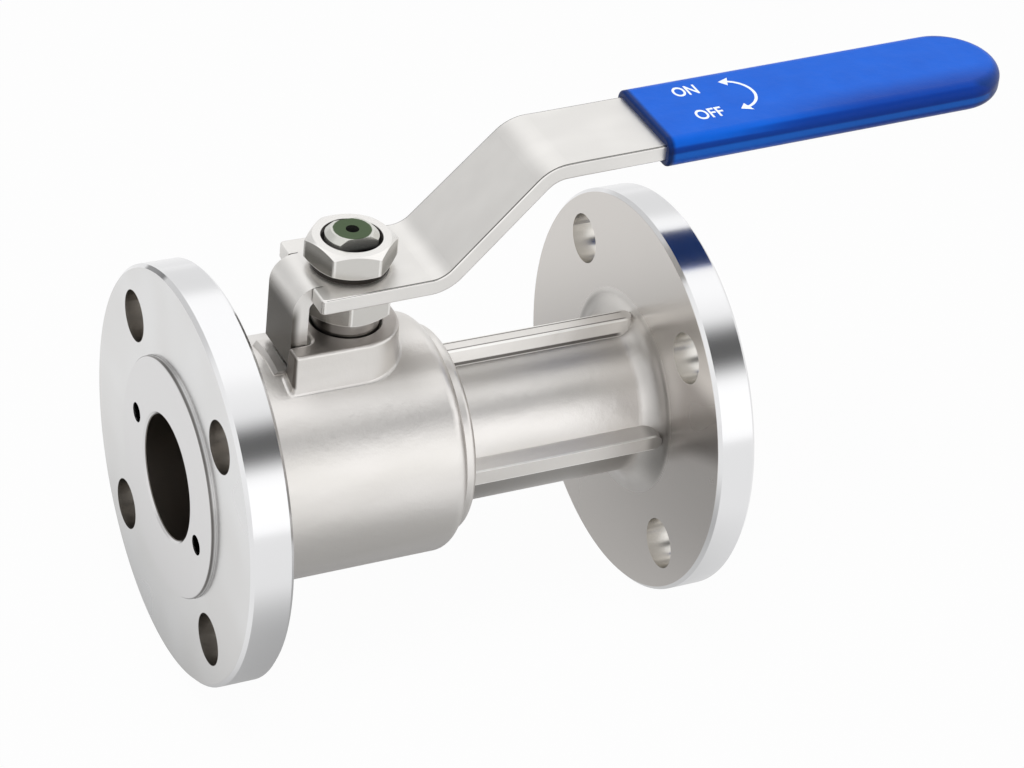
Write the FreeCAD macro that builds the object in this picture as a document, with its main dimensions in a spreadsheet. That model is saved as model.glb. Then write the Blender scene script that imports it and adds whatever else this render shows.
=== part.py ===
import FreeCAD, Part
import math
import os
import re
import Sketcher

# One-piece flanged ball valve, DN40 (NPS 1-1/2), Class 150, full bore, lever operated.
# Origin: the ball's centre. +X runs along the bore to the outlet, +Z up the stem.
# The lever closes towards -Y.
# Lengths are in millimetres and angles in degrees.

sizes = {
    # pipe side
    "flow_bore": 38.1,          # full bore through retainer, seats, ball and body
    "inlet_reach": 54.0,        # stem axis to the inlet's raised face
    "outlet_reach": 111.0,      # stem axis to the outlet's raised face
    "flange_od": 127.0,
    "inlet_thick": 15.0,        # inlet flange with its raised face
    "outlet_thick": 14.0,
    "raised_od": 73.0,
    "raised_high": 1.6,
    "bolt_inset": 1.05,         # bolt holes inward of half way from the housing to the rim
    "bolt_hole": 15.9,
    "flange_bevel": 1.1,        # bevel on the rims of the flanges
    "bore_bevel": 0.8,          # bevel at the mouths of the bore
    # housing and neck
    "ball_od": 58.0,
    "cavity_gap": 2.0,          # ball to the cavity wall
    "housing_wall": 6.0,
    "housing_end": 28.4,        # stem axis to the housing's shoulder
    "housing_flat": 0.3,        # left between the housing's rounding and the ring
    "housing_root": 3.0,        # fillet between housing and inlet flange
    "ring_step": 4.6,           # low ring between the housing and the neck, below the housing
    "ring_end": 32.5,
    "ring_round": 2.0,
    "neck_od": 48.4,
    "neck_flare": 6.5,          # fillet that spreads the neck into the outlet flange
    "neck_root": 1.2,           # fillet between ring and neck
    # ribs along the neck
    "rib_crest_r": 28.8,
    "rib_crest_wide": 4.7,
    "rib_draft": 17.5,
    "rib_depth": 6.8,           # radial depth of the rib, most of it buried in the neck
    "rib_end_gap": 0.4,         # rib's nose to the outlet flange
    # stem block and its cast stops
    "ledge_rise": 1.4,          # low ledge under the lever's tab, above the housing
    "ledge_half_wide": 8.5,
    "ledge_back": 4.3,          # ledge beyond the tab
    "ledge_bevel": 1.2,
    "block_draft": 2.0,
    "block_corner": 15.0,       # round outer corner of the block
    "block_root": 2.5,          # inner corners where the stops leave the block
    "stop_round": 1.2,          # corners of the stops
    "foot_round": 1.2,          # fillet between the block and the housing
    "wall_corner": 11.0,        # round corner that the lever's tab sweeps past
    "stop_thick": 6.0,
    "stop_gap": 0.5,            # tab to the cast stops at both ends of the travel
    "stop_past": 1.0,           # stops beyond the tab
    "tab_clear": 2.1,           # tab to the block behind it
    "cast_round": 1.0,
    # retainer, gasket and seats
    "collar_thick": 4.6,
    "gasket_thick": 1.0,
    "turned_gap": 0.1,          # radial clearance of turned pieces that fit into the body
    "spanner_circle": 52.6,
    "spanner_hole": 6.2,
    "spanner_deep": 6.0,
    "spanner_turn": 14.0,       # the two holes' line above the horizontal
    "seat_wide": 6.95,          # radial width of a seat
    "seat_thick": 8.0,
    "seat_back": 24.0,          # stem axis to a seat's back face
    "retainer_end": 17.0,       # stem axis to the retainer's inner end
    "ball_gap": 0.3,            # seat's spherical face to the ball
    "ball_round": 0.9,
    # stem
    "stem_od": 16.0,
    "shoulder_od": 22.0,
    "shoulder_thick": 3.8,
    "shoulder_gap": 0.4,        # ball's crown to the stem shoulder
    "tang_thick": 8.0,
    "tang_long": 15.0,
    "tang_deep": 6.4,
    "tang_gap": 0.15,
    "thrust_thick": 1.5,
    "stem_gap": 0.06,           # running fit of the stem
    "face_gap": 0.1,            # between flat faces that turn on each other
    "neck_land": 3.7,           # roof of the housing up to the packing box
    "o_ring_section": 1.8,
    "o_ring_room": 0.5,         # groove wider than the ring
    "stem_flats": 10.8,
    "stem_proud": 2.2,          # stem above the lever nut
    "stem_bevel": 1.6,
    "centre_hole": 3.9,
    "centre_deep": 4.0,
    # packing and gland
    "box_bore": 21.6,
    "box_deep": 7.8,
    "box_bevel": 0.4,
    "packing_rim": 0.9,
    "packing_peak": 0.9,
    "v_ring_thick": 1.1,
    "packing_gap": 0.05,
    "gland_od": 20.4,
    "gland_proud": 4.5,         # gland above the block
    "gland_gap": 0.3,           # gland, washers and seats to what turns inside them
    "gland_bevel": 0.4,
    # nuts and washer
    "nut_across": 24.0,
    "stem_nut_high": 9.5,
    "lever_nut_high": 8.0,
    "nut_chamfer": 30.0,
    "nut_face_inset": 0.4,      # top circle of a nut inside its flats
    "nut_mouth": 1.2,
    "thread_gap": 0.05,
    "stem_nut_turn": 11.6,
    "lever_nut_turn": -14.0,
    "washer_od": 23.2,
    "washer_thick": 1.5,
    # lever
    "strap_thick": 5.0,
    "head_wide": 33.6,          # across the ears
    "strap_wide": 30.0,
    "ear_reach": 15.4,          # stem axis to the ears' ends
    "relief_reach": 12.4,
    "ear_lap": 1.0,             # straight sides of the head behind the ears
    "relief_wide": 0.35,
    "tab_wide": 18.4,
    "tab_reach": 21.0,          # stem axis to the tab's outer face
    "tab_gap": 0.5,             # tab's foot above the ledge
    "tab_bend": 2.5,            # inner radius
    "ramp_start": 23.0,
    "ramp_angle": 45.0,
    "lever_rise": 31.7,         # head's top to the upper strap's top, at the second bend
    "upper_tilt": 1.5,
    "first_bend": 9.0,          # inner radius, on top
    "second_bend": 9.0,         # inner radius, underneath
    "flats_gap": 0.1,
    "strap_edge": 0.6,          # rounding of the strap's long edges
    "ear_corner": 1.5,
    # grip
    "grip_start": 92.0,
    "grip_end": 213.0,
    "grip_wall": 2.3,
    "grip_round": 3.8,
    "grip_gap": 0.05,
    "grip_lip": 0.8,
    # antistatic ball and spring in the stem's tang
    "static_ball_od": 3.0,
    "static_hole": 3.3,
    "static_deep": 9.0,
    "static_wire": 0.4,
    "static_coil": 2.4,         # spring's mean diameter
    "static_pitch": 1.1,
}

# places worked out from the sizes, each from those above it
places = {
    "bore_r": "Sizes.flow_bore / 2",
    "flange_r": "Sizes.flange_od / 2",
    "raised_r": "Sizes.raised_od / 2",
    "ball_r": "Sizes.ball_od / 2",
    "inlet_face": "-Sizes.inlet_reach",
    "inlet_flat": "-Sizes.inlet_reach + Sizes.raised_high",
    "inlet_back": "-Sizes.inlet_reach + Sizes.inlet_thick",
    "outlet_flat": "Sizes.outlet_reach - Sizes.raised_high",
    "outlet_back": "Sizes.outlet_reach - Sizes.outlet_thick",
    "cavity_r": "Sizes.ball_od / 2 + Sizes.cavity_gap",
    "housing_r": "Sizes.ball_od / 2 + Sizes.cavity_gap + Sizes.housing_wall",
    "ring_r": "housing_r - Sizes.ring_step",
    "bolt_circle_r": "(housing_r + flange_r) / 2 - Sizes.bolt_inset",
    "neck_r": "Sizes.neck_od / 2",
    "ledge_r": "housing_r + Sizes.ledge_rise",
    "seat_r": "bore_r + Sizes.seat_wide",
    "seat_front": "Sizes.seat_back - Sizes.seat_thick",
    "pocket_r": "seat_r + Sizes.turned_gap",
    "collar_back": "inlet_face + Sizes.collar_thick",
    "counter_floor": "collar_back + Sizes.gasket_thick",
    "thread_r": "cavity_r - Sizes.turned_gap",
    "shoulder_low": "ball_r + Sizes.shoulder_gap",
    "shoulder_high": "shoulder_low + Sizes.shoulder_thick",
    "roof": "shoulder_high + Sizes.face_gap + Sizes.thrust_thick",
    "box_floor": "roof + Sizes.neck_land",
    "block_top": "box_floor + Sizes.box_deep",
    "gland_top": "block_top + Sizes.gland_proud",
    "stem_nut_low": "gland_top + Sizes.face_gap",
    "lever_low": "stem_nut_low + Sizes.stem_nut_high",
    "lever_high": "lever_low + Sizes.strap_thick",
    "lever_nut_low": "lever_high + Sizes.washer_thick",
    "stem_top": "lever_nut_low + Sizes.lever_nut_high + Sizes.stem_proud",
    "stem_r": "Sizes.stem_od / 2",
    "stem_hole_r": "stem_r + Sizes.stem_gap",
    "box_r": "Sizes.box_bore / 2",
    "tang_low": "shoulder_low - Sizes.tang_deep",
    "slot_floor": "tang_low - Sizes.tang_gap",
    "tab_half": "Sizes.tab_wide / 2",
    "tab_foot": "ledge_r + Sizes.tab_gap",
    "tab_inner": "Sizes.tab_reach - Sizes.strap_thick",
    "stop_face": "tab_half + Sizes.stop_gap",
    "block_half": "stop_face + Sizes.stop_thick",
    "block_wall": "tab_inner - Sizes.tab_clear",
    "stop_end": "Sizes.tab_reach + Sizes.stop_past",
    "outer_bend": "Sizes.tab_bend + Sizes.strap_thick",
    # bend corners of the lever's top face, and the same corners underneath
    "ramp_top_x": "Sizes.ramp_start + Sizes.lever_rise / tan(Sizes.ramp_angle * 1 deg)",
    "ramp_top_z": "lever_high + Sizes.lever_rise",
    "first_under_x": "Sizes.ramp_start + Sizes.strap_thick * tan(Sizes.ramp_angle / 2 * 1 deg)",
    "second_turn": "(Sizes.ramp_angle - Sizes.upper_tilt) / 2",
    "second_mean": "(Sizes.ramp_angle + Sizes.upper_tilt) / 2",
    "second_reach": "Sizes.strap_thick / cos(second_turn * 1 deg)",
    "second_under_x": "ramp_top_x + second_reach * sin(second_mean * 1 deg)",
    "second_under_z": "ramp_top_z - second_reach * cos(second_mean * 1 deg)",
    "strap_end_x": "Sizes.grip_end - Sizes.grip_wall",
    "strap_end_z": "ramp_top_z + (strap_end_x - ramp_top_x) * tan(Sizes.upper_tilt * 1 deg)",
    "strap_under_x": "strap_end_x + Sizes.strap_thick * sin(Sizes.upper_tilt * 1 deg)",
    "strap_under_z": "strap_end_z - Sizes.strap_thick * cos(Sizes.upper_tilt * 1 deg)",
    "head_half": "Sizes.head_wide / 2",
    "ear_root": "Sizes.ear_lap - Sizes.relief_reach",
    "strap_half": "Sizes.strap_wide / 2",
    # along the tilted upper strap, from the second bend's corner
    "grip_from": "(Sizes.grip_start - ramp_top_x) / cos(Sizes.upper_tilt * 1 deg)",
    "grip_to": "(Sizes.grip_end - ramp_top_x) / cos(Sizes.upper_tilt * 1 deg)",
    "strap_to": "(strap_end_x - ramp_top_x) / cos(Sizes.upper_tilt * 1 deg)",
    "grip_half": "strap_half + Sizes.grip_wall",
    "hex_corner": "Sizes.nut_across / 2 / cos(30 deg)",
    "nut_hole_r": "stem_r + Sizes.thread_gap",
    "groove_mid": "(roof + box_floor) / 2",
    "groove_low": "groove_mid - (Sizes.o_ring_section + Sizes.o_ring_room) / 2",
    "groove_high": "groove_mid + (Sizes.o_ring_section + Sizes.o_ring_room) / 2",
    "groove_r": "stem_hole_r - Sizes.packing_gap - Sizes.o_ring_section",
    "first_v_low": "box_floor + Sizes.packing_rim + Sizes.packing_gap",
    "v_step": "Sizes.v_ring_thick + Sizes.packing_gap",
    "packing_in": "stem_hole_r",
    "packing_out": "box_r - Sizes.packing_gap",
    "packing_mid": "(packing_in + packing_out) / 2",
    "gland_low": "first_v_low + 3 * v_step",
    "gland_r": "Sizes.gland_od / 2",
    "static_ball_mid": "slot_floor + Sizes.face_gap + Sizes.static_ball_od / 2",
    "static_reach": "(Sizes.static_ball_od + Sizes.static_wire) / 2 + Sizes.packing_gap",
    "coil_low": "static_ball_mid + sqrt(static_reach ^ 2 - (Sizes.static_coil / 2) ^ 2)",
    "coil_high": "tang_low + Sizes.static_deep - Sizes.static_wire / 2",
}

doc = FreeCAD.newDocument("flanged_ball_valve")
sheet = doc.addObject("Spreadsheet::Sheet", "Sizes")
for row, (alias, value) in enumerate(sizes.items(), start=1):
    sheet.set(f"A{row}", alias)
    sheet.set(f"B{row}", str(value))
    sheet.setAlias(f"B{row}", alias)
doc.recompute()

place_set = doc.addObject("App::VarSet", "Places")
for name, formula in places.items():
    place_set.addProperty("App::PropertyFloat", name)
    place_set.setExpression(name, formula)
doc.recompute()

parts = []


def bound(text):
    """A formula in which each word that names a place or a size points at its cell."""
    def cell(match):
        word = match.group(0)
        if word in places:
            return "Places." + word
        if word in sizes:
            return "Sizes." + word
        return word
    return re.sub("[a-z][a-z_]*", cell, text)


def number(text):
    """The value that a formula has now."""
    return float(sheet.evalExpression(bound(text)))


def keep(thing, label):
    """Gives a finished piece its name and puts it on the list of pieces."""
    thing.Label = label
    parts.append(thing)
    return thing


def plane_of(body, role):
    """The body's own origin plane or axis with this role."""
    return next(item for item in body.Origin.OriginFeatures if item.Role == role)


def empty_sketch(body, role, height="0"):
    """A sketch on an origin plane, moved along the plane's normal by a height."""
    sketch = body.newObject("Sketcher::SketchObject", body.Name + "_sketch")
    sketch.AttachmentSupport = (plane_of(body, role), [""])
    sketch.MapMode = "FlatFace"
    if height != "0":
        sketch.setExpression(".AttachmentOffset.Base.z", bound(height))
    return sketch


def pin_point(sketch, geometry, position, across, up):
    """Fixes one point of a sketch at two formulas, or on an axis where a formula is zero."""
    for kind, formula, axis in (("DistanceX", across, -2), ("DistanceY", up, -1)):
        if formula == "0":
            sketch.addConstraint(Sketcher.Constraint("PointOnObject", geometry, position, axis))
        else:
            index = sketch.addConstraint(Sketcher.Constraint(kind, geometry, position, number(formula)))
            sketch.setExpression(f"Constraints[{index}]", bound(formula))


def add_outline(sketch, corners):
    """A closed outline of straight lines through corners given as pairs of formulas."""
    count = len(corners)
    first = sketch.GeometryCount
    points = [FreeCAD.Vector(number(across), number(up), 0) for across, up in corners]
    for step in range(count):
        sketch.addGeometry(Part.LineSegment(points[step], points[(step + 1) % count]), False)
    for step in range(count):
        following = first + (step + 1) % count
        sketch.addConstraint(Sketcher.Constraint("Coincident", first + step, 2, following, 1))
    for step, (across, up) in enumerate(corners):
        pin_point(sketch, first + step, 1, across, up)


def add_bar(sketch, start, end, half):
    """A bar along the sketch's first axis, square at its start and half round at its end."""
    corners = [(end, half), (start, half), (start, f"-({half})"), (end, f"-({half})")]
    points = [FreeCAD.Vector(number(across), number(up), 0) for across, up in corners]
    for step in range(3):
        sketch.addGeometry(Part.LineSegment(points[step], points[step + 1]), False)
    circle = Part.Circle(FreeCAD.Vector(number(end), 0, 0), FreeCAD.Vector(0, 0, 1), number(half))
    sketch.addGeometry(Part.ArcOfCircle(circle, -math.pi / 2, math.pi / 2), False)
    for step in range(3):
        sketch.addConstraint(Sketcher.Constraint("Coincident", step, 2, step + 1, 1))
        pin_point(sketch, step, 1, *corners[step])
    sketch.addConstraint(Sketcher.Constraint("Coincident", 3, 2, 0, 1))
    pin_point(sketch, 2, 2, *corners[3])
    index = sketch.addConstraint(Sketcher.Constraint("DistanceX", 3, 3, number(end)))
    sketch.setExpression(f"Constraints[{index}]", bound(end))


def add_circle(sketch, across, up, radius):
    """A circle whose centre and radius are formulas."""
    centre = FreeCAD.Vector(number(across), number(up), 0)
    index = sketch.addGeometry(Part.Circle(centre, FreeCAD.Vector(0, 0, 1), number(radius)), False)
    pin_point(sketch, index, 3, across, up)
    size_index = sketch.addConstraint(Sketcher.Constraint("Radius", index, number(radius)))
    sketch.setExpression(f"Constraints[{size_index}]", bound(radius))


def add_feature(body, kind, name, **settings):
    """A feature that becomes the body's tip; text values are formulas."""
    feature = body.newObject("PartDesign::" + kind, name)
    for key, value in settings.items():
        if isinstance(value, str) and key not in ("Type", "SideType"):
            feature.setExpression(key, bound(value))
        else:
            setattr(feature, key, value)
    body.Tip = feature
    return feature


def turn_sketch(body, sketch, axis, name, cut=False, sweep=360.0, middle=False):
    """Turns a sketch about its own horizontal or vertical axis, as a solid or as a cut."""
    before = body.Shape.Volume if cut else 0
    kind = "Groove" if cut else "Revolution"
    feature = add_feature(body, kind, name, Profile=sketch, Angle=sweep, Midplane=middle)
    feature.ReferenceAxis = (sketch, [axis])
    sketch.Visibility = False
    doc.recompute()
    if cut and body.Shape.Volume > before - 1e-3:
        raise RuntimeError(f"{name} cuts nothing")
    return feature


def pad_sketch(body, sketch, length, name, **settings):
    """Raises a sketch along its normal by a length."""
    feature = add_feature(body, "Pad", name, Profile=sketch, Length=length, **settings)
    doc.recompute()
    return feature


def cut_sketch(body, sketch, length, name, **settings):
    """Cuts a sketch's outline out of the body and checks that something was cut."""
    before = body.Shape.Volume
    feature = add_feature(body, "Pocket", name, Profile=sketch, Length=length, **settings)
    doc.recompute()
    if body.Shape.Volume > before - 1e-3:
        raise RuntimeError(f"{name} cuts nothing")
    return feature


def repeat_round(body, feature, axis_role, count, name):
    """Repeats a feature around an origin axis."""
    pattern = body.newObject("PartDesign::PolarPattern", name)
    pattern.Originals = [feature]
    pattern.Axis = (plane_of(body, axis_role), [""])
    pattern.Angle = 360
    pattern.Occurrences = count
    body.Tip = pattern
    doc.recompute()
    return pattern


def edge_names(feature, wanted):
    """Names of the feature's edges for which the test is true."""
    edges = enumerate(feature.Shape.Edges, start=1)
    return [f"Edge{index}" for index, edge in edges if wanted(edge)]


def round_edges(body, wanted, radius, name, kind="Fillet"):
    """Rounds or bevels the edges of the body's tip for which the test is true."""
    base = body.Tip
    names = edge_names(base, wanted)
    if not names:
        raise RuntimeError(f"{name} finds no edge")
    key = "Radius" if kind == "Fillet" else "Size"
    feature = add_feature(body, kind, name, Base=(base, names))
    feature.setExpression(key, bound(radius))
    doc.recompute()
    if feature.Shape.isNull() or not feature.isValid():
        raise RuntimeError(f"{name} can't be made")
    return feature


def circle_at(axis, along, radius):
    """A test for full circles about an axis, at one place along it and with one radius."""
    def test(edge):
        if not isinstance(edge.Curve, Part.Circle):
            return False
        centre = edge.Curve.Center
        off_axis = math.hypot(*(centre[i] for i in range(3) if i != axis))
        return off_axis < 0.01 and abs(centre[axis] - along) < 0.01 and abs(edge.Curve.Radius - radius) < 0.01
    return test


def straight_along(direction, **near):
    """A test for straight edges with one direction, whose middle is near the given coordinates."""
    def test(edge):
        if not isinstance(edge.Curve, (Part.Line, Part.LineSegment)):
            return False
        run = edge.Vertexes[-1].Point - edge.Vertexes[0].Point
        if run.Length < 1e-6 or abs(run.normalize()[direction]) < 0.99:
            return False
        middle = edge.CenterOfMass
        return all(abs(getattr(middle, key) - value) < 0.6 for key, value in near.items())
    return test


def turned(label, corners, axis="V_Axis", plane="XZ_Plane"):
    """A turned piece: a profile in a plane through the axis, turned about Z or about X."""
    body = doc.addObject("PartDesign::Body", label + "_body")
    sketch = empty_sketch(body, plane)
    add_outline(sketch, corners)
    turn_sketch(body, sketch, axis, label + "_turned")
    return body


def make_valve_body():
    """One casting: flanges, housing, ring, ribbed neck, stem block with stops and its bores."""
    rim = "flange_r - flange_bevel"
    corners = [
        ("inlet_flat", "0"),
        ("inlet_flat", rim),
        ("inlet_flat + flange_bevel", "flange_r"),
        ("inlet_back - flange_bevel", "flange_r"),
        ("inlet_back", rim),
        ("inlet_back", "housing_r"),
        ("housing_end", "housing_r"),
        ("housing_end", "ring_r"),
        ("ring_end", "ring_r"),
        ("ring_end", "neck_r"),
        ("outlet_back", "neck_r"),
        ("outlet_back", rim),
        ("outlet_back + flange_bevel", "flange_r"),
        ("outlet_flat - flange_bevel", "flange_r"),
        ("outlet_flat", rim),
        ("outlet_flat", "raised_r"),
        ("outlet_reach", "raised_r"),
        ("outlet_reach", "0"),
    ]
    body = turned("valve_body", corners, "H_Axis", "XY_Plane")
    housing_r = number("housing_r")
    neck_r = number("neck_r")
    ring_r = number("ring_r")
    rounds = [
        ("housing_corner", number("housing_end"), housing_r, "ring_step - housing_flat"),
        ("housing_foot", number("inlet_back"), housing_r, "housing_root"),
        ("ring_corner", number("ring_end"), ring_r, "ring_round"),
        ("neck_foot", number("ring_end"), neck_r, "neck_root"),
        ("flare", number("outlet_back"), neck_r, "neck_flare"),
    ]
    for name, along, radius, size in rounds:
        round_edges(body, circle_at(0, along, radius), size, name)
    make_ribs(body)
    make_stem_block(body)
    bore_body(body)
    return keep(body, "valve_body")


def make_ribs(body):
    """Four drafted ribs with round noses, from the ring to the outlet flange."""
    sketch = empty_sketch(body, "XY_Plane", "rib_crest_r")
    half = "rib_crest_wide / 2"
    add_bar(sketch, "ring_end - ring_round", "outlet_back - rib_end_gap - " + half, half)
    rib = pad_sketch(body, sketch, "rib_depth", "rib", Reversed=True, TaperAngle="rib_draft")
    repeat_round(body, rib, "X_Axis", 4, "ribs")


def make_stem_block(body):
    """Drafted block with the two cast stops, rounded into the housing, and the ledge under the tab."""
    block = empty_sketch(body, "XY_Plane", "block_top")
    add_outline(block, [
        ("-stop_end", "-stop_face"),
        ("-stop_end", "-block_half"),
        ("block_half", "-block_half"),
        ("block_half", "stop_end"),
        ("stop_face", "stop_end"),
        ("stop_face", "block_wall"),
        ("-block_wall", "block_wall"),
        ("-block_wall", "-stop_face"),
    ])
    depth = "block_top - bore_r"
    pad_sketch(body, block, depth, "stem_block", Reversed=True, TaperAngle="block_draft")
    top = number("block_top")

    def upright_edge(across, along):
        def test(edge):
            points = [vertex.Point for vertex in edge.Vertexes]
            near = all(math.hypot(point.x - across, point.y - along) < 1.3 for point in points)
            return near and max(point.z for point in points) > top - 0.01 and edge.Length > 4
        return test
    corners = [
        ("outer_corner", "block_half", "-block_half", "block_corner"),
        ("swept_corner", "-block_wall", "block_wall", "wall_corner"),
        ("open_stop_inside", "-stop_end", "-stop_face", "stop_round"),
        ("open_stop_outside", "-stop_end", "-block_half", "stop_round"),
        ("open_stop_root", "-block_wall", "-stop_face", "block_root"),
        ("shut_stop_inside", "stop_face", "stop_end", "stop_round"),
        ("shut_stop_outside", "block_half", "stop_end", "stop_round"),
        ("shut_stop_root", "stop_face", "block_wall", "block_root"),
    ]
    for name, across, along, radius in corners:
        round_edges(body, upright_edge(number(across), number(along)), radius, name)
    housing = number("housing_r")

    def foot_edge(edge):
        on_housing = all(abs(math.hypot(vertex.Y, vertex.Z) - housing) < 0.05 for vertex in edge.Vertexes)
        return on_housing and edge.Curve.TypeId == "Part::GeomBSplineCurve"
    round_edges(body, foot_edge, "foot_round", "block_foot")

    def top_edge(edge):
        return all(abs(vertex.Z - top) < 0.01 for vertex in edge.Vertexes)
    round_edges(body, top_edge, "cast_round", "block_rim")
    ledge = empty_sketch(body, "XZ_Plane")
    back = "-(tab_reach + ledge_back)"
    add_outline(ledge, [
        (back, "cavity_r + 1"),
        ("stop_face", "cavity_r + 1"),
        ("stop_face", "ledge_r"),
        (back + " + ledge_bevel", "ledge_r"),
        (back, "ledge_r - ledge_bevel"),
    ])
    ledge_half = math.asin(number("ledge_half_wide") / number("ledge_r"))
    turn_sketch(body, ledge, "H_Axis", "ledge", sweep=2 * math.degrees(ledge_half), middle=True)


def bore_body(body):
    """The bore with its counterbores, the stem's bore and the bolt holes."""
    flow = empty_sketch(body, "XZ_Plane")
    add_outline(flow, [
        ("inlet_face - 1", "0"),
        ("inlet_face - 1", "raised_r + turned_gap"),
        ("counter_floor", "raised_r + turned_gap"),
        ("counter_floor", "cavity_r"),
        ("seat_front", "cavity_r"),
        ("seat_front", "pocket_r"),
        ("seat_back", "pocket_r"),
        ("seat_back", "bore_r"),
        ("outlet_reach - bore_bevel", "bore_r"),
        ("outlet_reach + bore_bevel", "bore_r + 2 * bore_bevel"),
        ("outlet_reach + bore_bevel", "0"),
    ])
    turn_sketch(body, flow, "H_Axis", "flow_way", cut=True)
    stem_way = empty_sketch(body, "XZ_Plane")
    pocket = "shoulder_od / 2 + shoulder_gap"
    add_outline(stem_way, [
        ("0", "cavity_r / 2"),
        (pocket, "cavity_r / 2"),
        (pocket, "roof"),
        ("stem_hole_r", "roof"),
        ("stem_hole_r", "box_floor"),
        ("box_r", "box_floor"),
        ("box_r", "block_top - box_bevel"),
        ("box_r + 2 * box_bevel", "block_top + box_bevel"),
        ("0", "block_top + box_bevel"),
    ])
    turn_sketch(body, stem_way, "V_Axis", "stem_way", cut=True)
    holes = empty_sketch(body, "YZ_Plane")
    diagonal = "bolt_circle_r * cos(45 deg)"
    add_circle(holes, diagonal, diagonal, "bolt_hole / 2")
    reach = "outlet_reach + inlet_reach"
    drill = cut_sketch(body, holes, reach, "bolt_hole", Midplane=True, Type="ThroughAll")
    repeat_round(body, drill, "X_Axis", 4, "bolt_holes")


def make_retainer():
    """Screwed insert: its collar is the inlet's raised face, its inner end carries a seat."""
    corners = [
        ("inlet_face", "bore_r + bore_bevel"),
        ("inlet_face", "raised_r - bore_bevel / 2"),
        ("inlet_face + bore_bevel / 2", "raised_r"),
        ("collar_back", "raised_r"),
        ("collar_back", "thread_r"),
        ("-retainer_end", "thread_r"),
        ("-retainer_end", "pocket_r"),
        ("-seat_back", "pocket_r"),
        ("-seat_back", "bore_r"),
        ("inlet_face + bore_bevel", "bore_r"),
    ]
    body = turned("body_retainer", corners, "H_Axis")
    holes = empty_sketch(body, "YZ_Plane", "inlet_face")
    across = "spanner_circle / 2 * cos(spanner_turn * 1 deg)"
    up = "spanner_circle / 2 * sin(spanner_turn * 1 deg)"
    add_circle(holes, across, up, "spanner_hole / 2")
    add_circle(holes, "-" + across, "-" + up, "spanner_hole / 2")
    cut_sketch(body, holes, "spanner_deep", "spanner_holes", Reversed=True)
    keep(body, "body_retainer")
    gasket = box_corners("collar_back", "counter_floor", "cavity_r + turned_gap", "raised_r")
    keep(turned("retainer_gasket", gasket, "H_Axis"), "retainer_gasket")


def box_corners(low, high, inner, outer):
    """Corners of a plain ring's section, from low to high along its axis."""
    return [(low, inner), (high, inner), (high, outer), (low, outer)]


def make_seat(label, sign):
    """Seat ring with a spherical face around the ball; the sign is a minus at the inlet."""
    corners = box_corners(sign + "seat_front", sign + "seat_back", "bore_r", "seat_r")
    blank = turned(label, corners, "H_Axis")
    sphere = doc.addObject("Part::Sphere", label + "_face")
    sphere.setExpression("Radius", bound("ball_r + ball_gap"))
    seat = doc.addObject("Part::Cut", label)
    seat.Base = blank
    seat.Tool = sphere
    keep(seat, label)


def make_ball():
    """Bored ball with rounded bore edges and the slot that the stem's tang turns."""
    sphere = doc.addObject("Part::Sphere", "ball_sphere")
    sphere.setExpression("Radius", bound("ball_r"))
    bore = doc.addObject("Part::Cylinder", "ball_bore")
    bore.setExpression("Radius", bound("bore_r"))
    bore.setExpression("Height", bound("2 * ball_r"))
    bore.Placement = FreeCAD.Placement(FreeCAD.Vector(), FreeCAD.Rotation(FreeCAD.Vector(0, 1, 0), 90))
    bore.setExpression("Placement.Base.x", bound("-ball_r"))
    bored = doc.addObject("Part::Cut", "bored_ball")
    bored.Base = sphere
    bored.Tool = bore
    doc.recompute()
    mouth = math.sqrt(number("ball_r") ** 2 - number("bore_r") ** 2)
    rounded = doc.addObject("Part::Fillet", "rounded_ball")
    rounded.Base = bored
    radius = number("ball_round")
    edges = enumerate(bored.Shape.Edges, start=1)
    at_mouth = [index for index, edge in edges if abs(abs(edge.CenterOfMass.x) - mouth) < 0.01]
    rounded.Edges = [(index, radius, radius) for index in at_mouth]
    slot = doc.addObject("Part::Box", "ball_slot")
    slot.setExpression("Length", bound("tang_thick + 2 * tang_gap"))
    slot.setExpression("Width", bound("2 * ball_r"))
    slot.setExpression("Height", bound("ball_r"))
    slot.setExpression("Placement.Base.x", bound("-tang_thick / 2 - tang_gap"))
    slot.setExpression("Placement.Base.y", bound("-ball_r"))
    slot.setExpression("Placement.Base.z", bound("slot_floor"))
    ball = doc.addObject("Part::Cut", "ball")
    ball.Base = rounded
    ball.Tool = slot
    keep(ball, "ball")


def make_stem():
    """Blow-out-proof stem: tang, shoulder, ring groove, round shank and double-D end."""
    shoulder = "shoulder_od / 2"
    corners = [
        ("0", "shoulder_low"),
        (shoulder, "shoulder_low"),
        (shoulder, "shoulder_high"),
        ("stem_r", "shoulder_high"),
        ("stem_r", "groove_low"),
        ("groove_r", "groove_low"),
        ("groove_r", "groove_high"),
        ("stem_r", "groove_high"),
        ("stem_r", "stem_top - stem_bevel"),
        ("stem_r - stem_bevel", "stem_top"),
        ("centre_hole / 2", "stem_top"),
        ("centre_hole / 2", "stem_top - centre_deep"),
        ("0", "stem_top - centre_deep - centre_hole / 4"),
    ]
    body = turned("stem", corners)
    tang = empty_sketch(body, "XY_Plane", "tang_low")
    add_outline(tang, square_corners("-tang_thick / 2", "tang_thick / 2", "-tang_long / 2", "tang_long / 2"))
    pad_sketch(body, tang, "tang_deep", "tang")
    flats = empty_sketch(body, "XY_Plane", "lever_low - flats_gap")
    add_outline(flats, square_corners("-stem_r - 1", "stem_r + 1", "stem_flats / 2", "stem_r + 1"))
    add_outline(flats, square_corners("-stem_r - 1", "stem_r + 1", "-stem_r - 1", "-stem_flats / 2"))
    cut_sketch(body, flats, "stem_top", "flats", Reversed=True)
    hole = empty_sketch(body, "XY_Plane", "tang_low")
    add_circle(hole, "0", "0", "static_hole / 2")
    cut_sketch(body, hole, "static_deep", "static_hole", Reversed=True)
    keep(body, "stem")


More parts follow.
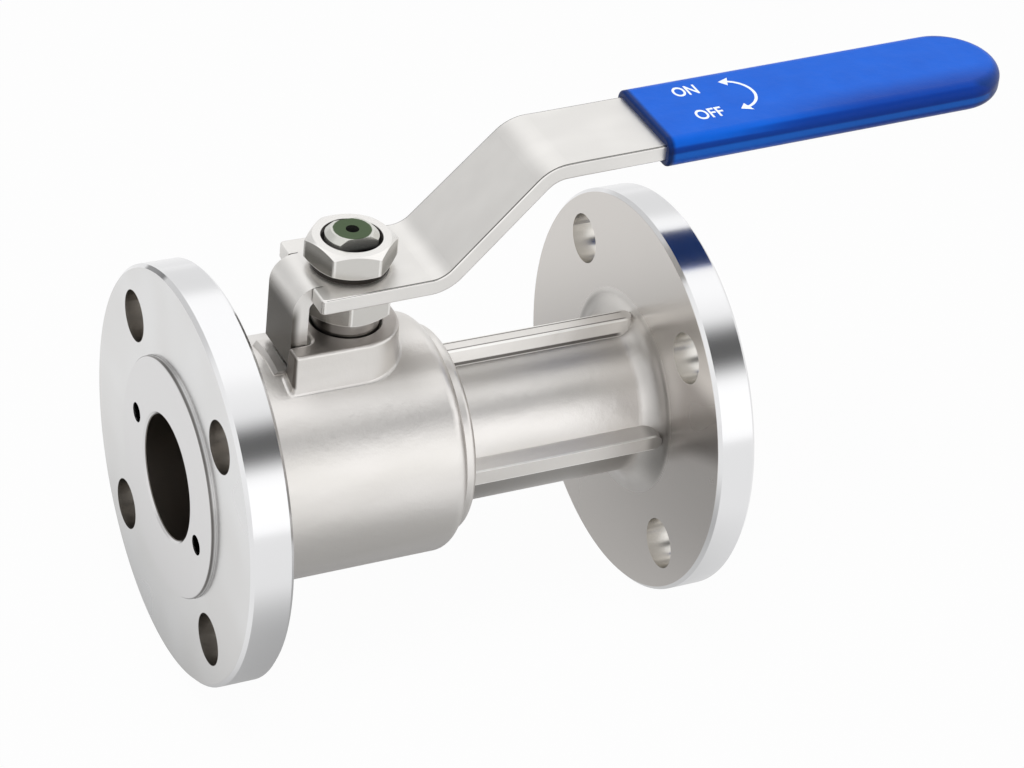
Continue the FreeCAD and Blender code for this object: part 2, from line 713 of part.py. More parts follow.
def square_corners(left, right, low, high):
    """Corners of a rectangle in a sketch."""
    return [(left, low), (right, low), (right, high), (left, high)]


def make_stem_trim():
    """Thrust washer and ring on the stem, and the antistatic ball with its spring in the tang."""
    washer = box_corners("stem_r + gland_gap", "shoulder_od / 2 + shoulder_gap - turned_gap",
                         "roof - thrust_thick", "roof")
    keep(turned("thrust_washer", washer), "thrust_washer")
    ring = doc.addObject("Part::Torus", "stem_o_ring")
    ring.setExpression("Radius1", bound("groove_r + o_ring_section / 2"))
    ring.setExpression("Radius2", bound("o_ring_section / 2"))
    ring.setExpression("Placement.Base.z", bound("groove_mid"))
    keep(ring, "stem_o_ring")
    ball = doc.addObject("Part::Sphere", "antistatic_ball")
    ball.setExpression("Radius", bound("static_ball_od / 2"))
    ball.setExpression("Placement.Base.z", bound("static_ball_mid"))
    keep(ball, "antistatic_ball")
    helix = doc.addObject("Part::Helix", "spring_line")
    helix.setExpression("Pitch", bound("static_pitch"))
    helix.setExpression("Height", bound("coil_high - coil_low"))
    helix.setExpression("Radius", bound("static_coil / 2"))
    helix.setExpression("Placement.Base.z", bound("coil_low"))
    wire = doc.addObject("Part::Circle", "spring_wire")
    wire.setExpression("Radius", bound("static_wire / 2"))
    wire.Placement = FreeCAD.Placement(FreeCAD.Vector(), FreeCAD.Rotation(FreeCAD.Vector(1, 0, 0), 90))
    wire.setExpression("Placement.Base.x", bound("static_coil / 2"))
    wire.setExpression("Placement.Base.z", bound("coil_low"))
    spring = doc.addObject("Part::Sweep", "antistatic_spring")
    spring.Sections = [wire]
    spring.Spine = (helix, ["Edge1"])
    spring.Solid = True
    spring.Frenet = True
    keep(spring, "antistatic_spring")


def make_packing():
    """Bottom adaptor, three nested V rings and the gland that presses on them."""
    base = [
        ("packing_in", "box_floor"),
        ("packing_out", "box_floor"),
        ("packing_out", "box_floor + packing_rim"),
        ("packing_mid", "box_floor + packing_rim + packing_peak"),
        ("packing_in", "box_floor + packing_rim"),
    ]
    keep(turned("packing_base_ring", base), "packing_base_ring")
    for step, level in enumerate(("lower", "middle", "upper")):
        low = f"first_v_low + {step} * v_step"
        ring = [
            ("packing_in", low),
            ("packing_mid", low + " + packing_peak"),
            ("packing_out", low),
            ("packing_out", low + " + v_ring_thick"),
            ("packing_mid", low + " + v_ring_thick + packing_peak"),
            ("packing_in", low + " + v_ring_thick"),
        ]
        label = "packing_v_ring_" + level
        keep(turned(label, ring), label)
    slope = "packing_peak / (packing_out - packing_mid)"
    gland = [
        ("stem_r + gland_gap", "gland_low + (stem_r + gland_gap - packing_in) * " + slope),
        ("packing_mid", "gland_low + packing_peak"),
        ("gland_r", "gland_low + (packing_out - gland_r) * " + slope),
        ("gland_r", "gland_top - gland_bevel"),
        ("gland_r - gland_bevel", "gland_top"),
        ("stem_r + gland_gap", "gland_top"),
    ]
    keep(turned("gland", gland), "gland")


def make_nut(label, low, high, turn):
    """Hexagon nut with chamfered corners on both faces."""
    body = doc.addObject("PartDesign::Body", label + "_body")
    hexagon = empty_sketch(body, "XY_Plane", low)
    around = [f"({60 * step} + {turn}) * 1 deg" for step in range(6)]
    add_outline(hexagon, [(f"hex_corner * cos({angle})", f"hex_corner * sin({angle})") for angle in around])
    pad_sketch(body, hexagon, high, label + "_hexagon")
    bore = empty_sketch(body, "XY_Plane", low)
    add_circle(bore, "0", "0", "nut_hole_r")
    cut_sketch(body, bore, high, label + "_bore", Reversed=True)
    face = "(nut_across / 2 - nut_face_inset)"
    past = "(hex_corner + 1)"
    fall = f"({past} - {face}) * tan(nut_chamfer * 1 deg)"
    for name, level, sign in (("_foot", low, "+"), ("_crown", f"({low} + {high})", "-")):
        corner = empty_sketch(body, "XZ_Plane")
        add_outline(corner, [(face, level), (past, level), (past, f"{level} {sign} {fall}")])
        turn_sketch(body, corner, "V_Axis", label + name, cut=True)
    hole = number("nut_hole_r")
    ends = [number(low), number(low) + number(high)]

    def mouth(edge):
        return any(circle_at(2, end, hole)(edge) for end in ends)
    round_edges(body, mouth, "nut_mouth", label + "_mouths", kind="Chamfer")
    keep(body, label)


def make_lever():
    """Strap bent up to the grip, with a stop tab between two ears and a double-D hole."""
    body = doc.addObject("PartDesign::Body", "lever_body")
    side = empty_sketch(body, "XZ_Plane")
    add_outline(side, [
        ("-tab_reach", "lever_high"),
        ("-tab_reach", "tab_foot"),
        ("-tab_inner", "tab_foot"),
        ("-tab_inner", "lever_low"),
        ("first_under_x", "lever_low"),
        ("second_under_x", "second_under_z"),
        ("strap_under_x", "strap_under_z"),
        ("strap_end_x", "strap_end_z"),
        ("ramp_top_x", "ramp_top_z"),
        ("ramp_start", "lever_high"),
    ])
    pad_sketch(body, side, "head_wide + strap_thick", "strap", Midplane=True)
    bends = [
        ("tab_outer", "-tab_reach", "lever_high", "outer_bend"),
        ("tab_inner", "-tab_inner", "lever_low", "tab_bend"),
        ("first_top", "ramp_start", "lever_high", "first_bend"),
        ("first_under", "first_under_x", "lever_low", "first_bend + strap_thick"),
        ("second_top", "ramp_top_x", "ramp_top_z", "second_bend + strap_thick"),
        ("second_under", "second_under_x", "second_under_z", "second_bend"),
    ]
    for name, across, up, radius in bends:
        corner = straight_along(1, x=number(across), z=number(up))
        round_edges(body, corner, radius, name)
    plan = empty_sketch(body, "XY_Plane")
    for sign in ("", "-"):
        add_outline(plan, [
            ("-tab_reach - 2", sign + "tab_half"),
            ("-relief_reach", sign + "tab_half"),
            ("-relief_reach", sign + "head_half"),
            ("ear_root", sign + "head_half"),
            ("ramp_top_x + 2 * strap_thick", sign + "strap_half"),
            ("strap_end_x + 2", sign + "strap_half"),
            ("strap_end_x + 2", sign + "head_wide"),
            ("-tab_reach - 2", sign + "head_wide"),
        ])
    cut_sketch(body, plan, "4 * ramp_top_z", "plan", Midplane=True)
    ears = empty_sketch(body, "XY_Plane", "lever_low")
    inner = "tab_half + relief_wide"
    add_outline(ears, square_corners("-ear_reach", "ear_root", inner, "head_half"))
    add_outline(ears, square_corners("-ear_reach", "ear_root", "-head_half", f"-({inner})"))
    pad_sketch(body, ears, "strap_thick", "ears")
    for side_name, side_y in (("near", -number("head_half")), ("far", number("head_half"))):
        ear_edge = straight_along(2, x=-number("ear_reach"), y=side_y)
        round_edges(body, ear_edge, "ear_corner", side_name + "_ear")
    end = number("strap_end_x")

    def end_corner(edge):
        middle = edge.CenterOfMass
        return abs(middle.x - end) < 0.5 and abs(abs(middle.y) - number("strap_half")) < 0.01
    round_edges(body, end_corner, "strap_half - grip_gap", "strap_end")

    def long_edge(edge):
        first, last = edge.Vertexes[0].Point, edge.Vertexes[-1].Point
        outer = min(abs(first.y), abs(last.y)) > number("strap_half") - 0.01
        return outer and abs(first.x - last.x) > 0.3 and abs(first.y + last.y) > 1
    round_edges(body, long_edge, "strap_edge", "strap_edges")
    cylinder = doc.addObject("Part::Cylinder", "round_of_hole")
    cylinder.setExpression("Radius", bound("stem_r + flats_gap"))
    cylinder.setExpression("Height", bound("2 * strap_thick"))
    cylinder.setExpression("Placement.Base.z", bound("lever_low - strap_thick / 2"))
    box = doc.addObject("Part::Box", "flats_of_hole")
    box.setExpression("Length", bound("2 * stem_od"))
    box.setExpression("Width", bound("stem_flats + 2 * flats_gap"))
    box.setExpression("Height", bound("2 * strap_thick"))
    box.setExpression("Placement.Base.x", bound("-stem_od"))
    box.setExpression("Placement.Base.y", bound("-stem_flats / 2 - flats_gap"))
    box.setExpression("Placement.Base.z", bound("lever_low - strap_thick / 2"))
    hole = doc.addObject("Part::Common", "double_d")
    hole.Base = cylinder
    hole.Tool = box
    lever = doc.addObject("Part::Cut", "lever")
    lever.Base = body
    lever.Tool = hole
    keep(lever, "lever")
    washer = box_corners("stem_r + gland_gap", "washer_od / 2", "lever_high", "lever_nut_low")
    keep(turned("lever_washer", washer), "lever_washer")


def make_grip():
    """Dipped sleeve over the upper strap, round at its end, made along the tilted strap."""
    body = doc.addObject("PartDesign::Body", "grip_body")
    plan = empty_sketch(body, "XY_Plane", "-strap_thick - grip_wall")
    add_bar(plan, "grip_from", "grip_to - grip_half", "grip_half")
    pad_sketch(body, plan, "strap_thick + 2 * grip_wall", "sleeve")
    start = number("grip_from")
    top = number("grip_wall")
    foot = -number("strap_thick") - number("grip_wall")

    def long_edge(edge):
        middle = edge.CenterOfMass
        flat = all(min(abs(vertex.Z - top), abs(vertex.Z - foot)) < 0.01 for vertex in edge.Vertexes)
        return flat and middle.x > start + 0.01 and abs(edge.Vertexes[0].Z - edge.Vertexes[-1].Z) < 0.01
    round_edges(body, long_edge, "grip_round", "soft_edges")

    def open_rim(edge):
        return all(abs(vertex.X - start) < 0.01 for vertex in edge.Vertexes)
    round_edges(body, open_rim, "grip_lip", "lip")
    pocket = empty_sketch(body, "XY_Plane", "-strap_thick - grip_gap")
    add_bar(pocket, "grip_from - 1", "strap_to - strap_half", "strap_half + grip_gap")
    cut_sketch(body, pocket, "strap_thick + 2 * grip_gap", "strap_room", Reversed=True)
    tilt = FreeCAD.Rotation(FreeCAD.Vector(0, 1, 0), -number("upper_tilt"))
    corner_place = FreeCAD.Vector(number("ramp_top_x"), 0, number("ramp_top_z"))
    body.Placement = FreeCAD.Placement(corner_place, tilt)
    keep(body, "grip")


make_valve_body()
make_retainer()
make_seat("inlet_seat", "-")
make_seat("outlet_seat", "")
make_ball()
make_stem()
make_stem_trim()
make_packing()
make_nut("stem_nut", "stem_nut_low", "stem_nut_high", "stem_nut_turn")
make_lever()
make_nut("lever_nut", "lever_nut_low", "lever_nut_high", "lever_nut_turn")
make_grip()
doc.recompute()

broken = [item.Label for item in doc.Objects if {"Invalid", "Error"} & set(item.State)]
if broken:
    raise RuntimeError("failed: " + ", ".join(broken))
for part in parts:
    if part.Shape.isNull() or not part.Shape.isValid():
        raise RuntimeError(part.Label + " has no valid shape")

os.makedirs("parts", exist_ok=True)
for part in parts:
    part.Shape.exportStep(f"parts/{part.Label}.step")
    print(part.Label, round(part.Shape.Volume / 1000, 2), "cm3", len(part.Shape.Solids), "solids")
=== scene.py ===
import functools
import math

import bpy
import numpy as np
from mathutils import Matrix, Vector


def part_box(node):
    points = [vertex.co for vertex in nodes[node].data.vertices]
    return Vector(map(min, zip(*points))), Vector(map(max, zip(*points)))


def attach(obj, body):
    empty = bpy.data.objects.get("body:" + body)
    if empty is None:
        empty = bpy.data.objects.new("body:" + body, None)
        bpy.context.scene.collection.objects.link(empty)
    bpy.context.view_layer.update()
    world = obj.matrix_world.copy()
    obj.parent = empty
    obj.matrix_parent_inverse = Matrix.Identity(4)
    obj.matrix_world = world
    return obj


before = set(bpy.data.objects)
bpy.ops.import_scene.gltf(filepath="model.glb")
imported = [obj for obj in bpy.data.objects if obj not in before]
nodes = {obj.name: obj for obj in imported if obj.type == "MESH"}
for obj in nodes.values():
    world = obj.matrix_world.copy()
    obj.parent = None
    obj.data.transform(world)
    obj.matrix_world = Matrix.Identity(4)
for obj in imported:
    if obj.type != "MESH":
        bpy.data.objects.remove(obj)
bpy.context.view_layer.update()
mm = 0.001
print("frame:", len(nodes), "nodes")


def addObject(name, data):
    made = bpy.data.objects.new(name, data)
    bpy.context.scene.collection.objects.link(made)
    return made


# camera: the photograph's place, direction and lens
camera = {
    "place": (-0.36699, -0.76914, 0.61289),
    "right": (0.900927, -0.423424, 0.095094),
    "up": (0.170801, 0.547408, 0.819251),
    "lens": 122.5,
    "sensor": 36,
    "clip": (0.05, 50),
}


def makeCamera(v):
    right, up = Vector(v["right"]), Vector(v["up"])
    turn = Matrix((right, up, right.cross(up))).transposed().to_4x4()
    data = bpy.data.cameras.new("camera")
    data.lens = v["lens"]
    data.sensor_width = v["sensor"]
    data.clip_start, data.clip_end = v["clip"]
    made = addObject("camera", data)
    made.matrix_world = Matrix.Translation(v["place"]) @ turn
    bpy.context.scene.camera = made


makeCamera(camera)
print("camera made")


# shader maths
class Field:
    # a value, colour or vector that varies over a surface: one socket, and Python's operators add the nodes
    def __init__(self, tree, socket=None):
        self.tree = tree
        self.socket = socket

    # one node: its type, its settings, then the values or links of its sockets
    def make(self, kind, settings=None, inputs=None, output=0):
        node = self.tree.nodes.new(kind)
        for name, value in (settings or {}).items():
            setattr(node, name, value)
        for key, value in (inputs or {}).items():
            if isinstance(value, Field):
                self.tree.links.new(value.socket, node.inputs[key])
            else:
                node.inputs[key].default_value = value
        return Field(self.tree, node.outputs[output] if node.outputs else None)

    def maths(self, operation, other=0.0, flipped=False):
        pair = (other, self) if flipped else (self, other)
        return self.make("ShaderNodeMath", {"operation": operation}, {0: pair[0], 1: pair[1]})

    def __add__(self, other):
        return self.maths("ADD", other)

    def __sub__(self, other):
        return self.maths("SUBTRACT", other)

    def __rsub__(self, other):
        return self.maths("SUBTRACT", other, True)

    def __mul__(self, other):
        return self.maths("MULTIPLY", other)

    def __truediv__(self, other):
        return self.maths("DIVIDE", other)

    def __pow__(self, other):
        return self.maths("POWER", other)

    def __abs__(self):
        return self.maths("ABSOLUTE")

    __radd__ = __add__
    __rmul__ = __mul__

    def least(self, other):
        return self.maths("MINIMUM", other)

    def most(self, other):
        return self.maths("MAXIMUM", other)

    # 0 below low and 1 above high, or the other way round where low is the larger one
    def rise(self, low, high):
        inputs = {"Value": self, "From Min": low, "From Max": high}
        return self.make("ShaderNodeMapRange", {"interpolation_type": "SMOOTHSTEP"}, inputs)

    # 0 at the first gap past a place and 1 at the second
    def past(self, place, gaps):
        return self.rise(place + gaps[0], place + gaps[1])

    # 1 within half a width of the middle, falling to 0 over the blur
    def band(self, middle, half, blur):
        return abs(self - middle).rise(half + blur, half)

    # the angle in degrees of the direction whose sine is this number and whose cosine is the other
    def angle(self, cosine):
        return self.maths("ARCTAN2", cosine) * (180 / math.pi)

    # 0 to 1 noise read at this vector, or along this number when flat
    def noise(self, scale, detail, rough, flat=False):
        settings = {"noise_dimensions": "1D" if flat else "3D"}
        inputs = {"W" if flat else "Vector": self, "Scale": scale, "Detail": detail, "Roughness": rough}
        return self.make("ShaderNodeTexNoise", settings, inputs)

    # the colour low where this mask is 0 and high where it is 1
    def between(self, low, high):
        return self.make("ShaderNodeMix", {"data_type": "RGBA"}, {0: self, 6: low, 7: high}, output=2)

    # the vector with each axis stretched by its own factor
    def stretched(self, factors):
        return self.make("ShaderNodeVectorMath", {"operation": "MULTIPLY"}, {0: self, 1: factors})

    # a shader of this number as a grey glow
    def glowing(self):
        grey = self.make("ShaderNodeCombineColor", None, {0: self, 1: self, 2: self})
        return grey.make("ShaderNodeEmission", None, {"Color": grey, "Strength": 1.0})

    # this shader becomes the material's surface
    def show(self):
        self.make("ShaderNodeOutputMaterial", None, {0: self})


# a colour as it looks on a screen, 0 to 255, as linear light: the sRGB curve is straight up to 10 and a power above
def screen(red, green, blue):
    return tuple(((c / 255 + 0.055) / 1.055) ** 2.4 if c > 10 else c / 255 / 12.92 for c in (red, green, blue)) + (1,)


# the same colour with a share of its light
def dimmed(colour, share):
    return tuple(part * share for part in colour[:3]) + (1,)


class Finish:
    # one material: its place fields in millimetres, and its shader
    def __init__(self, name):
        self.material = bpy.data.materials.new(name)
        self.material.use_nodes = True
        self.tree = self.material.node_tree
        self.tree.nodes.clear()
        start = Field(self.tree).make("ShaderNodeTexCoord", output="Object")
        self.place = start.stretched((1 / mm, 1 / mm, 1 / mm))
        self.x, self.y, self.z = (
            self.place.make("ShaderNodeSeparateXYZ", None, {0: self.place}, output=axis) for axis in range(3)
        )

    # 1 where every span holds and 0 outside: a span is the name of a place field, then a rise's two numbers or a
    # band's three
    def inside(self, *spans):
        shares = []
        for name, *numbers in spans:
            field = getattr(self, name)
            shares.append(field.band(*numbers) if len(numbers) == 3 else field.rise(*numbers))
        return math.prod(shares[1:], start=shares[0])

    # the same for a mark: how strong it is, then its spans
    def mark(self, share, *spans):
        return self.inside(*spans) * share

    # the colour with marks over it in turn: each has its own colour, how strong it is, and its spans
    def painted(self, colour, marks):
        for over, *mark in marks:
            colour = self.mark(*mark).between(colour, over)
        return colour

    # the shader with its colour, roughness and height in millimetres, and settings that are the same all over
    def shade(self, colour, rough, height, **fixed):
        bump = height.make("ShaderNodeBump", None, {"Strength": 1.0, "Distance": mm, "Height": height})
        inputs = {name.replace("_", " "): value for name, value in fixed.items()}
        inputs.update({"Base Color": colour, "Roughness": rough, "Normal": bump})
        colour.make("ShaderNodeBsdfPrincipled", None, inputs).show()
        return self.material


def dress(name, material):
    for slot in nodes[name].material_slots:
        slot.material = material


# cast body: satin casting with turned flanges, drilled holes and a bored way
body = {
    # millimetres, as in the CAD
    "flangeR": 63.5,
    "bevel": 1.1,
    "holeAt": 34.79,
    "holeR": 7.95,
    "boreR": 19.05,
    "inletFlat": -52.4,
    "inletBack": -39.0,
    "outletBack": 97.0,
    "outletFlat": 109.4,
    # how near to a machined surface its finish starts and is whole, and the zone it is kept to
    "rimGaps": (0.02, 0.1),
    "holeGaps": (0.12, 0.04),
    "holeZone": ("radius", 30, 31),
    "boreGaps": (0.4, 0.2),
    "inletGaps": (1.0, 0.8),
    "outletGaps": (-1.0, -0.8),
    "backSkin": (0.1, 0.1),
    "backZone": ("radius", 39, 40.5),
    "flareSkin": (0.12, 0.6),
    "flareZone": ("radius", 31, 33),
    # colours
    "castColour": screen(230, 227, 224),
    "dullColour": screen(222, 219, 215),
    "faceColour": screen(222, 222, 222),
    "faceDull": screen(214, 213, 212),
    "outletBackShade": screen(209, 205, 201),
    "outletDeepShade": screen(140, 135, 131),
    "rimColour": screen(228, 228, 229),
    "arcReflectionColour": screen(112, 112, 113),
    "inletDrilledShade": screen(176, 172, 167),
    "outletDrilled": screen(214, 211, 206),
    "boreColour": screen(172, 165, 158),
    "paintedShadeColour": screen(74, 70, 66),
    "ribEdgeHighlight": screen(246, 245, 242),
    # noise: scale, detail and roughness, and how high or strong it is
    "grains": (1.6, 3, 0.6),
    "grainHeight": 0.035,
    "grainRough": 0.08,
    "lumps": (0.22, 2, 0.5),
    "lumpHeight": 0.10,
    "patches": (0.06, 2, 0.5),
    "patchStretch": (0.25, 1, 1),
    "patchTones": (0.36, 0.66),
    "patchRough": 0.10,
    "clouds": (0.03, 1, 0.5),
    "cloudTones": (0.3, 0.7),
    "cloudRough": 0.05,
    "rings": (1.1, 2, 0.6),
    "ringHeight": 0.001,
    "laps": (2.0, 2, 0.6),
    "lapHeight": 0.002,
    "castRough": 0.38,
    "faceRough": 0.24,
    "rimRough": 0.17,
    # painted shade on the pad's top, and in the corners of its end
    "padShade": [
        (screen(196, 191, 187), 1.0, ("z", 45.9, 46.2), ("x", -30, -26), ("x", 40, 36)),
        (
            screen(112, 107, 102), 1.0,
            ("x", -21.0, -21.9), ("x", -32, -28), ("z", 33, 35), ("radius", 38.6, 39.6), ("across", 9.2, 9.6),
        ),
    ],
    # where the neck and its ribs' crests are, and its lower side
    "neck": [("x", 32.4, 33.2), ("x", 99, 95)],
    "crests": [("radius", 28.2, 28.5), ("radius", 29.4, 29.1), ("x", 95, 93)],
    "lowSide": ("z", -2, -3),
    # painted shade in the creases, along the ribs' roots, under the ribs and the pad, round the flare and at the
    # steps: how strong it is along each mark, and where the mark lies
    "paintedShade": {
        "roots": (0.9, ("radius", 24.85, 0.3, 0.3), ("x", 93, 90)),
        "under": (0.26, ("radius", 25.2, 24.7), ("x", 93, 88)),
        "grooves": (0.8, ("aside", 1.7, 0.12, 0.2), ("z", 6, 9)),
        "flare": (1.0, ("x", 95.4, 1.6, 3.6), ("radius", 31, 3.5, 8)),
        "joint": (0.75, ("x", 32.7, 0.35, 0.5), ("radius", 29.5, 27.5)),
        "foot": (0.22, ("radius", 37, 0.3, 0.3), ("y", -25, -17), ("z", 20, 28), ("x", 0, 12, 12)),
        "ledge": (
            0.55,
            ("x", -24.5, 2.6, 1.0), ("across", 9.4, 8.6), ("radius", 37.1, 37.5), ("z", 34, 35), ("y", 6, -7),
        ),
    },
    "rootsHigh": ("z", 12, 15),
    "underHigh": ("z", 18.5, 24),
    "underLow": (2.0, ("z", -25, -8)),
    "flareSides": (0.42, ("z", 4, 12, 14)),
    "flareRest": 0.12,
    # painted highlight along the ribs' edges
    "worn": ("aside", 2.35, 0.12, 0.2),
    # painted shade: the outlet flange's back is a little darker all over, and darker still in a part above a sloping
    # line
    "outletSkin": (1, 1),
    "deepShadeSkin": (0.2, 0.4),
    "deepShadePart": (0.85, ("y", -22, -40), ("sloped", 1, 9), ("z", 36, 26)),
    "slope": (38, 0.4),
    # a painted dark reflection: an arc on the inlet flange's bevel
    "arcGaps": (1.1, 1.0),
    "arc": (0.9, ("y", 20.5, 5.5, 3.5), ("z", 40, 46)),
    # the way from the inlet's holes, which have painted shade, to the outlet's, which are lighter
    "outletWay": ("x", 0, 50),
}


def makeBodyFinish(v):
    f = Finish("cast_body")
    f.radius = (f.y * f.y + f.z * f.z) ** 0.5
    f.across = abs(f.y)
    f.aside = f.across.least(abs(f.z))  # from the nearest rib's middle plane
    side, rise = f.across - v["holeAt"], abs(f.z) - v["holeAt"]
    fromHole = (side * side + rise * rise) ** 0.5
    rim = f.radius.past(v["flangeR"] - v["bevel"], v["rimGaps"])
    drilled = fromHole.past(v["holeR"], v["holeGaps"]) * f.inside(v["holeZone"])
    bored = f.radius.past(v["boreR"], v["boreGaps"])
    fronts = f.x.past(v["inletFlat"], v["inletGaps"]).most(f.x.past(v["outletFlat"], v["outletGaps"]))
    backs = f.x.band(v["inletBack"], *v["backSkin"]).most(f.x.band(v["outletBack"], *v["backSkin"]))
    backs = backs * f.inside(v["backZone"])
    backs = backs.most(f.x.band(v["outletBack"], *v["flareSkin"]) * f.inside(v["flareZone"]))
    turned = fronts.most(backs)
    machined = turned.most(rim).most(drilled).most(bored)

    grains = f.place.noise(*v["grains"])
    lumps = f.place.noise(*v["lumps"])
    patches = f.place.stretched(v["patchStretch"]).noise(*v["patches"])
    clouds = f.place.noise(*v["clouds"])
    rings = f.radius.noise(*v["rings"], flat=True)
    laps = f.x.noise(*v["laps"], flat=True)
    height = (1 - machined) * (grains * v["grainHeight"] + lumps * v["lumpHeight"])
    height = height + turned * rings * v["ringHeight"] + rim * laps * v["lapHeight"]
    rough = (v["castRough"] + grains * v["grainRough"] - patches * v["patchRough"]) * (1 - machined)
    rough = rough + machined * v["faceRough"] + turned * clouds * v["cloudRough"]
    rough = rough - rim * (v["faceRough"] - v["rimRough"])

    cast = patches.rise(*v["patchTones"]).between(v["dullColour"], v["castColour"])
    # painted shade on the pad's top and end corners
    cast = f.painted(cast, v["padShade"])
    neck = f.inside(*v["neck"])
    crests = f.inside(*v["crests"])
    low = f.inside(v["lowSide"])
    # painted shade in creases and under edges
    paintedShade = {name: f.mark(*mark) for name, mark in v["paintedShade"].items()}
    paintedShade["roots"] *= neck * f.inside(v["rootsHigh"]).most(low)
    paintedShade["under"] *= neck * f.inside(v["underHigh"]).most(low * f.mark(*v["underLow"]))
    paintedShade["grooves"] *= neck * crests
    paintedShade["flare"] *= f.mark(*v["flareSides"]) + v["flareRest"]
    cast = functools.reduce(Field.most, paintedShade.values()).between(cast, v["paintedShadeColour"])
    # painted highlight along the ribs' edges
    cast = (neck * f.inside(v["worn"]) * crests).between(cast, v["ribEdgeHighlight"])

    face = clouds.rise(*v["cloudTones"]).between(v["faceDull"], v["faceColour"])
    # painted shade on the outlet flange's back
    face = f.x.band(v["outletBack"], *v["outletSkin"]).between(face, v["outletBackShade"])
    f.sloped = f.z + (f.y + v["slope"][0]) * v["slope"][1]
    deepShade = f.x.band(v["outletBack"], *v["deepShadeSkin"]) * f.mark(*v["deepShadePart"])
    colour = turned.between(cast, deepShade.between(face, v["outletDeepShade"]))
    colour = rim.between(colour, v["rimColour"])
    # painted dark reflection on the inlet flange's bevel
    arc = rim * f.x.past(v["inletFlat"], v["arcGaps"]) * f.mark(*v["arc"])
    colour = arc.between(colour, v["arcReflectionColour"])
    # painted shade in the inlet's holes
    colour = drilled.between(colour, f.inside(v["outletWay"]).between(v["inletDrilledShade"], v["outletDrilled"]))
    colour = bored.between(colour, v["boreColour"])
    return f.shade(colour, rough, height, Metallic=1.0)


dress("valve_body", makeBodyFinish(body))
print("body dressed")

# retainer: turned insert
retainer = {
    "colour": screen(214, 213, 213),
    "holeColour": screen(60, 56, 52),
    # millimetres: the raised face is at -54.0 and reaches out to 36.5, and the bore's radius is 19.05
    "face": ("x", -53.3, -53.5),
    "side": ("radius", 36.0, 36.2),
    # painted shade on the face's edge, then the bore
    "marks": [
        (screen(118, 116, 114), 1.0, ("radius", 36.2, 36.35), ("x", -52.65, -53.35)),
        (screen(172, 165, 158), 1.0, ("radius", 19.12, 19.08)),
    ],
    "rings": (1.3, 2, 0.6),
    "ringHeight": 0.002,
    "ringRough": 0.03,
    "rough": 0.22,
}


def makeRetainerFinish(v):
    f = Finish("turned_insert")
    f.radius = (f.y * f.y + f.z * f.z) ** 0.5
    rings = f.radius.noise(*v["rings"], flat=True)
    colour = f.inside(v["face"]).most(f.inside(v["side"])).between(v["holeColour"], v["colour"])
    colour = f.painted(colour, v["marks"])
    return f.shade(colour, v["rough"] + rings * v["ringRough"], rings * v["ringHeight"], Metallic=1.0)


dress("body_retainer", makeRetainerFinish(retainer))

# bright turned steel
steels = {
    "pieces": {
        # the gland has painted shade on its left side
        "gland": {"colour": screen(196, 193, 189), "rough": 0.13, "rings": 0.010, "shade": (0.8, ("x", 3, -7))},
        # painted shade: the washer under the lever nut is coloured dark
        "lever_washer": {"colour": screen(58, 55, 52), "rough": 0.45, "rings": 0.010},
        "ball": {"colour": screen(214, 213, 212), "rough": 0.08, "rings": 0.0},
        "antistatic_ball": {"colour": screen(214, 213, 212), "rough": 0.08, "rings": 0.0},
        "antistatic_spring": {"colour": screen(190, 188, 184), "rough": 0.25, "rings": 0.0},
    },
    "lines": (5.0, 3, 0.7),
    "clouds": (0.4, 3, 0.6),
    "cloudDim": 0.92,
    "cloudHeight": 0.002,
    "cloudRough": 0.06,
    "shadeDim": 0.3,
}


def makeTurnedFinish(name, piece, v):
    f = Finish("turned_" + name)
    lines = f.z.noise(*v["lines"], flat=True)
    clouds = f.place.noise(*v["clouds"])
    colour = clouds.between(piece["colour"], dimmed(piece["colour"], v["cloudDim"]))
    # painted shade on one side of the piece
    if "shade" in piece:
        colour = f.mark(*piece["shade"]).between(colour, dimmed(piece["colour"], v["shadeDim"]))
    height = lines * piece["rings"] + clouds * v["cloudHeight"]
    return f.shade(colour, piece["rough"] + clouds * v["cloudRough"], height, Metallic=1.0)


for name, piece in steels["pieces"].items():
    dress(name, makeTurnedFinish(name, piece, steels))

# nuts: cold formed, with a turned top face and chamfer
nut = {
    "colour": screen(203, 201, 197),
    "facetShadeColour": screen(116, 114, 108),
    "topColour": screen(230, 228, 225),
    "cornerHighlight": screen(248, 247, 244),
    "mouthShadeColour": screen(44, 41, 38),
    # the flat top's radius, the chamfer's slope, and the depths where the turned finish starts and is whole
    "face": 11.6,
    "chamfer": math.tan(math.radians(30)),
    "endGaps": (0.2, 0.08),
    # the azimuth of one light facet, and how dark the next is: light and shade are painted on the facets, light and
    # dark in turn, in three pairs
    "facing": {"stem_nut": (-78.4, 0.5), "lever_nut": (-104.0, 1.0)},
    "pairs": 3,
    "turnOver": (0.12, -0.12),
    # a shaded facet's painted tone: its clouds, all over, and the painted shadow its lower part adds between two
    # depths
    "facetShadeTones": (0.2, 0.45, 0.4),
    "facetShadeDepths": (1.6, 5.0),
    # painted highlight along the corners
    "edges": (0.6, ("radius", 13.436, 13.656)),  # the corners are at 13.856
    # painted shade in the nut's mouth
    "mouth": ("radius", 9.25, 9.05),
    "rings": (3.0, 2, 0.6),
    "ringHeight": 0.006,
    "clouds": (0.3, 3, 0.6),
    "cloudRough": 0.08,
    "drawn": (2.4, 3, 0.6),
    "drawnStretch": (1, 1, 0.12),
    "drawnHeight": 0.008,
    "rough": 0.20,
}


